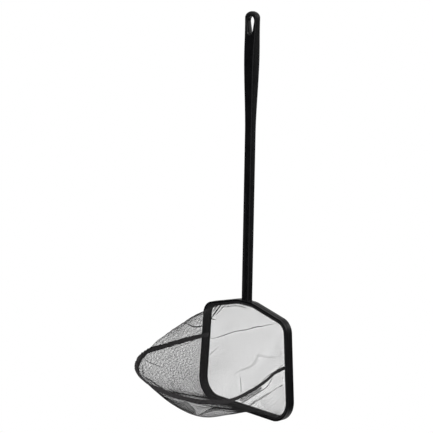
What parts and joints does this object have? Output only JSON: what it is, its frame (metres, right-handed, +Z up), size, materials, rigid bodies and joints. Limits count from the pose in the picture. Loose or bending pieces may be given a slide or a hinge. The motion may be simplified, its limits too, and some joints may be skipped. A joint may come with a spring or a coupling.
{
  "type": "aquarium fish net",
  "caption": "Hand net for an aquarium: a long flared handle with a hanging slot, a flat-sided hoop with a clamping ring, and a wedge-shaped mesh bag.",
  "frame": {"origin": "centre of the round upper end of the hanging slot, at mid depth of the handle", "axes": "+Z up the handle to its tip, X across the hoop, -Y towards the bag's far seam, so +Y leaves the hoop's flat back"},
  "size_m": [0.147, 0.1335, 0.4489],
  "materials": {
    "frame_plastic": "black moulded plastic with a satin sheen",
    "ring_plastic": "black moulded plastic with a satin sheen",
    "hem_cloth": "folded black knitted mesh",
    "net_mesh": "fine black knitted mesh, seen through",
    "binding_tape": "black woven binding tape",
    "sewing_thread": "twisted black polyester thread"
  },
  "bodies": {
    "frame": {"handle": "frame_plastic", "hoop_frame": "frame_plastic"},
    "net_insert": {"retaining_ring": "ring_plastic", "mouth_hem": "hem_cloth", "upper_panel": "net_mesh", "lower_panel": "net_mesh", "seam_tape": "binding_tape", "seam_thread": "sewing_thread"}
  },
  "joints": [
    {"name": "ring_pull", "type": "slide", "parent": "frame", "child": "net_insert", "axis": [0, -1, 0], "range_m": [0, 0.012]}
  ]
}
